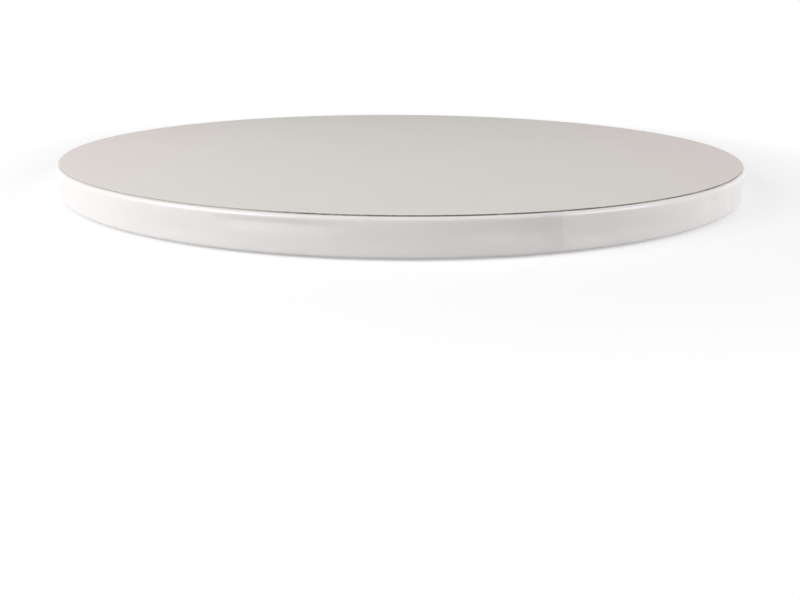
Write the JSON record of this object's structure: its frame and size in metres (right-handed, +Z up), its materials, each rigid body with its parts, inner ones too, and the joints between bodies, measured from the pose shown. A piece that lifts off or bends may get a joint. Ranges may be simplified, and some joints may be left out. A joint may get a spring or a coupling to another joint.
{
  "type": "cake board",
  "caption": "Round, thick white cake board: a corrugated core bound by a glossy paper edge band, with a satin sheet on top and a plain sheet underneath.",
  "frame": {"origin": "centre of the underside, on the surface that the board lies on", "axes": "+Z up through the thickness, +X to the right and -Y to the front as the picture shows it"},
  "size_m": [0.3048, 0.3048, 0.013],
  "materials": {
    "top_paper": "white coated lining board, satin",
    "band_paper": "white coated paper, smooth and glossy",
    "corrugated_board": "brown kraft, matt",
    "base_paper": "white uncoated lining paper, matt"
  },
  "bodies": {
    "root": {"top_sheet": "top_paper", "edge_band": "band_paper", "core_ply_top": "corrugated_board", "core_ply_middle": "corrugated_board", "core_ply_bottom": "corrugated_board", "base_sheet": "base_paper"}
  },
  "joints": []
}
